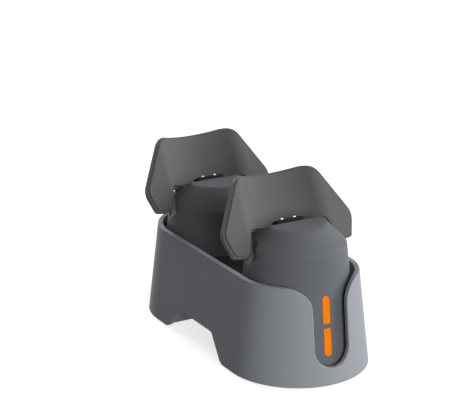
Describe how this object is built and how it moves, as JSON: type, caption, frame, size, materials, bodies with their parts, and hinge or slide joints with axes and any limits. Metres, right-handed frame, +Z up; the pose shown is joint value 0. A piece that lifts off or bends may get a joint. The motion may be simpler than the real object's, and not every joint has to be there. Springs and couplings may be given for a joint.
{
  "type": "controller charging dock",
  "caption": "Free-standing charging dock with a tapered skirt, round cradle towers with leaning saddles, a slotted front with light windows and a power inlet behind.",
  "frame": {"origin": "on the table, under the middle of the dock", "axes": "+X to the right seen from the front, +Y from the front cradle to the rear cradle, +Z up"},
  "size_m": [0.0666, 0.1374, 0.0824],
  "materials": {
    "shell_plastic": "satin moulded mid grey",
    "tower_plastic": "satin moulded grey, a little darker than the skirt",
    "deck_plastic": "matt dark grey",
    "soft_pad": "matt warm grey silicone",
    "foot_rubber": "matt black rubber",
    "contact_plastic": "satin black",
    "contact_metal": "gold plated",
    "light_window": "lit orange, milky",
    "lamp": "yellow lamp bodies",
    "circuit_board": "green solder mask",
    "chip_plastic": "matt black",
    "capacitor_can": "plain can",
    "socket_plastic": "off-white nylon",
    "inlet_metal": "plain stamped",
    "lead_cover": "matt black",
    "screw_steel": "dark plated"
  },
  "bodies": {
    "root": {"outer_shell": "shell_plastic", "base_plate": "shell_plastic", "front_tower": "tower_plastic", "rear_tower": "tower_plastic", "front_saddle": "tower_plastic", "rear_saddle": "tower_plastic", "deck_cover": "deck_plastic", "front_saddle_pad": "soft_pad", "rear_saddle_pad": "soft_pad", "front_foot_pad": "foot_rubber", "rear_foot_pad": "foot_rubber", "front_contact_block": "contact_plastic", "rear_contact_block": "contact_plastic", "front_contact_pins": "contact_metal", "rear_contact_pins": "contact_metal", "upper_light_bar": "light_window", "lower_light_bar": "light_window", "light_leds": "lamp", "front_contact_board": "circuit_board", "rear_contact_board": "circuit_board", "light_board": "circuit_board", "main_board": "circuit_board", "charge_chip": "chip_plastic", "power_inductor": "chip_plastic", "usb_tongue": "chip_plastic", "capacitors": "capacitor_can", "lead_sockets": "socket_plastic", "usb_shell": "inlet_metal", "front_contact_lead": "lead_cover", "rear_contact_lead": "lead_cover", "light_lead": "lead_cover", "base_screws": "screw_steel", "saddle_screws": "screw_steel", "contact_screws": "screw_steel", "board_screws": "screw_steel", "light_board_screws": "screw_steel"}
  },
  "joints": []
}
